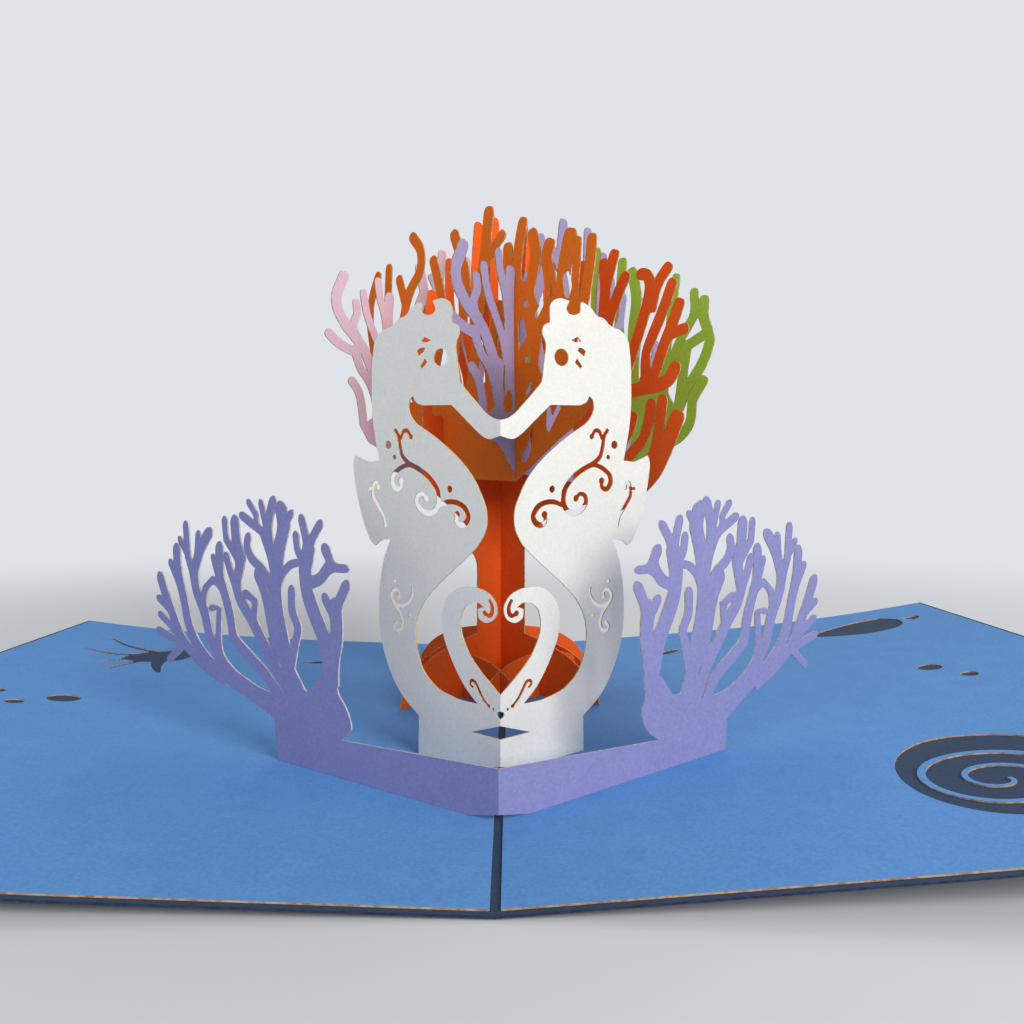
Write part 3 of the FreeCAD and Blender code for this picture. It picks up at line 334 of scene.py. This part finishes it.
def rounded_outline(loop, kept, cut):
    """Round a closed outline's corners, apart from the kept ones."""
    loop, kept = without_straight_points(loop, kept)
    points = []
    for index, here in enumerate(loop):
        before, after = loop[index - 1], loop[(index + 1) % len(loop)]
        arriving, leaving = here - before, after - here
        turn = arriving.angle(leaving, 0.0)
        if index in kept or turn < math.radians(2):
            points.append(here)
            continue
        reach = corner_reach(turn, min(arriving.length, leaving.length), cut)
        first = here - arriving.normalized() * reach
        last = here + leaving.normalized() * reach
        for step in range(cut["steps"] + 1):
            part = step / cut["steps"]
            points.append((1 - part) ** 2 * first + 2 * part * (1 - part) * here + part ** 2 * last)
    return [point for index, point in enumerate(points) if (point - points[index - 1]).length > 0.003]


# %% Fill a flat outline
def fill_outline(name, loops):
    """A flat piece in the XY plane, in mm, filled between its outlines."""
    points, edges = [], []
    for loop in loops:
        first = len(points)
        points += [(point.x, point.y, 0) for point in loop]
        edges += [(first + k, first + (k + 1) % len(loop)) for k in range(len(loop))]
    mesh = bpy.data.meshes.new(name)
    mesh.from_pydata(points, edges, [])
    piece = bpy.data.objects.new(name, mesh)
    bpy.context.collection.objects.link(piece)
    bpy.ops.object.select_all(action="DESELECT")
    bpy.context.view_layer.objects.active = piece
    piece.select_set(True)
    bpy.ops.object.mode_set(mode="EDIT")
    bpy.ops.mesh.select_all(action="SELECT")
    bpy.ops.mesh.fill(use_beauty=True)
    bpy.ops.mesh.normals_make_consistent(inside=False)
    bpy.ops.object.mode_set(mode="OBJECT")
    if mesh.polygons[0].normal.z < 0:
        mesh.flip_normals()
    return piece


# %% Recut an upright sheet, folded or flat
FOOT_HEIGHT = 6 * MM
FOLD_REACH = 0.5 * MM


def recut_upright(node, cut):
    """Flat pieces that lie in the planes of a sheet's visible side, one for each wing."""
    shape = bmesh.new()
    shape.from_mesh(node.data)
    bmesh.ops.remove_doubles(shape, verts=shape.verts, dist=0.001 * MM)
    directions = [d for d in face_directions(node.data) if d.y < -0.1]
    wings = [[f for f in shape.faces if f.normal.dot(d) > 0.97] for d in directions]
    flat_pieces = []
    for wing in wings:
        largest = max(wing, key=lambda face: face.calc_area())
        normal = largest.normal.copy()
        across = Vector((0, 0, 1)).cross(normal).normalized()
        up = normal.cross(across)
        distance = largest.verts[0].co.dot(normal)
        loops = []
        for loop in outline_loops(wing):
            drawn, kept = [], set()
            for index, vert in enumerate(loop):
                place = vert.co.copy()
                if len(wings) > 1 and abs(place.x) < FOLD_REACH:
                    place = Vector((0, distance / normal.y, place.z))
                    kept.add(index)
                if place.z < FOOT_HEIGHT:
                    kept.add(index)
                drawn.append(Vector((place.dot(across), place.dot(up))) / MM)
            loops.append(rounded_outline(drawn, kept, cut))
        piece = fill_outline("wing", loops)
        for vert in piece.data.vertices:
            vert.co = (across * vert.co.x + up * vert.co.y) * MM + normal * distance
        flat_pieces.append(piece)
    shape.free()
    return flat_pieces


# %% Recut a lining, which follows its page
def recut_lining(node):
    """A flat piece drawn along the page, then laid on the page's own curve."""
    shape = bmesh.new()
    shape.from_mesh(node.data)
    bmesh.ops.remove_doubles(shape, verts=shape.verts, dist=0.001 * MM)
    top = [face for face in shape.faces if face.normal.z > 0.7]
    on_top = {vert for face in top for vert in face.verts}
    group = set(top)
    knots = {}
    for face in top:
        for edge in face.edges:
            pair = [f for f in edge.link_faces if f in group]
            if len(pair) == 2 and pair[0].normal.angle(pair[1].normal) > math.radians(0.1):
                knots[round(edge.verts[0].co.x / MM, 3)] = edge.verts[0].co.z / MM
    for vert in (min(on_top, key=lambda v: v.co.x), max(on_top, key=lambda v: v.co.x)):
        knots[round(vert.co.x / MM, 3)] = vert.co.z / MM
    section = sorted(knots.items())
    runs = [0.0]
    for (x0, z0), (x1, z1) in zip(section, section[1:]):
        runs.append(runs[-1] + math.hypot(x1 - x0, z1 - z0))

    def between(value, keys, results):
        """Straight line interpolation in a table."""
        index = max(k for k in range(len(keys) - 1) if keys[k] <= value or k == 0)
        part = (value - keys[index]) / (keys[index + 1] - keys[index])
        return results[index] + part * (results[index + 1] - results[index])

    places, heights = [x for x, z in section], [z for x, z in section]
    loops = []
    for loop in outline_loops(top):
        drawn = [Vector((between(v.co.x / MM, places, runs), v.co.y / MM)) for v in loop]
        loops.append(rounded_outline(drawn, set(), PAGE))
    piece = fill_outline("lining", loops)
    bpy.ops.object.mode_set(mode="EDIT")
    for run in runs[1:-1]:
        bpy.ops.mesh.select_all(action="SELECT")
        bpy.ops.mesh.bisect(plane_co=(run, 0, 0), plane_no=(1, 0, 0), threshold=0.001)
    bpy.ops.object.mode_set(mode="OBJECT")
    for vert in piece.data.vertices:
        run, along = vert.co.x, vert.co.y
        vert.co = Vector((between(run, runs, places), along, between(run, runs, heights))) * MM
    shape.free()
    print("%s: bends at %d places" % (node.name, len(runs) - 2))
    return [piece]


# %% Give a cut sheet its thickness
SHEET_THICKNESS = 0.35 * MM
LINING_THICKNESS = 0.30 * MM


def finish_sheet(name, flat_pieces, thickness):
    """Join a sheet's wings at the fold and thicken them away from the visible side."""
    bpy.ops.object.select_all(action="DESELECT")
    for piece in flat_pieces:
        piece.select_set(True)
    bpy.context.view_layer.objects.active = flat_pieces[0]
    if len(flat_pieces) > 1:
        bpy.ops.object.join()
    sheet = bpy.context.object
    sheet.name = sheet.data.name = name
    bpy.ops.object.mode_set(mode="EDIT")
    bpy.ops.mesh.select_all(action="SELECT")
    bpy.ops.mesh.remove_doubles(threshold=0.002 * MM)
    bpy.ops.object.mode_set(mode="OBJECT")
    wall = sheet.modifiers.new("wall", "SOLIDIFY")
    wall.thickness = thickness
    wall.offset = -1
    wall.use_even_offset = True
    wall.material_offset_rim = 1
    sheet.data.materials.append(None)
    sheet.data.materials.append(None)
    bpy.ops.object.modifier_apply(modifier=wall.name)
    bpy.ops.object.shade_smooth_by_angle(angle=math.radians(35))
    return sheet


# %% Dress the sheets
for node_name, (card_name, colour, cloud) in card_colours.items():
    node = nodes[node_name]
    edge = edge_materials.get(node_name, laser_edge)
    if node_name == "cover":
        main = face_directions(node.data, 0.02)
        node.data.materials.clear()
        node.data.materials.append(card_materials[card_name])
        node.data.materials.append(edge)
        for polygon in node.data.polygons:
            on_face = any(polygon.normal.dot(direction) > 0.97 for direction in main)
            polygon.material_index = 0 if on_face else 1
        continue
    lining = node_name.endswith("liner")
    cut = SEAHORSE if node_name == "seahorses" else BRANCHES
    flat_pieces = recut_lining(node) if lining else recut_upright(node, cut)
    sheet = finish_sheet(node_name + "_cut", flat_pieces,
                         LINING_THICKNESS if lining else SHEET_THICKNESS)
    sheet.data.materials[0] = card_materials[card_name]
    sheet.data.materials[1] = edge
    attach(sheet, "root")
    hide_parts(node_name)
    print("%s: %d faces" % (sheet.name, len(sheet.data.polygons)))
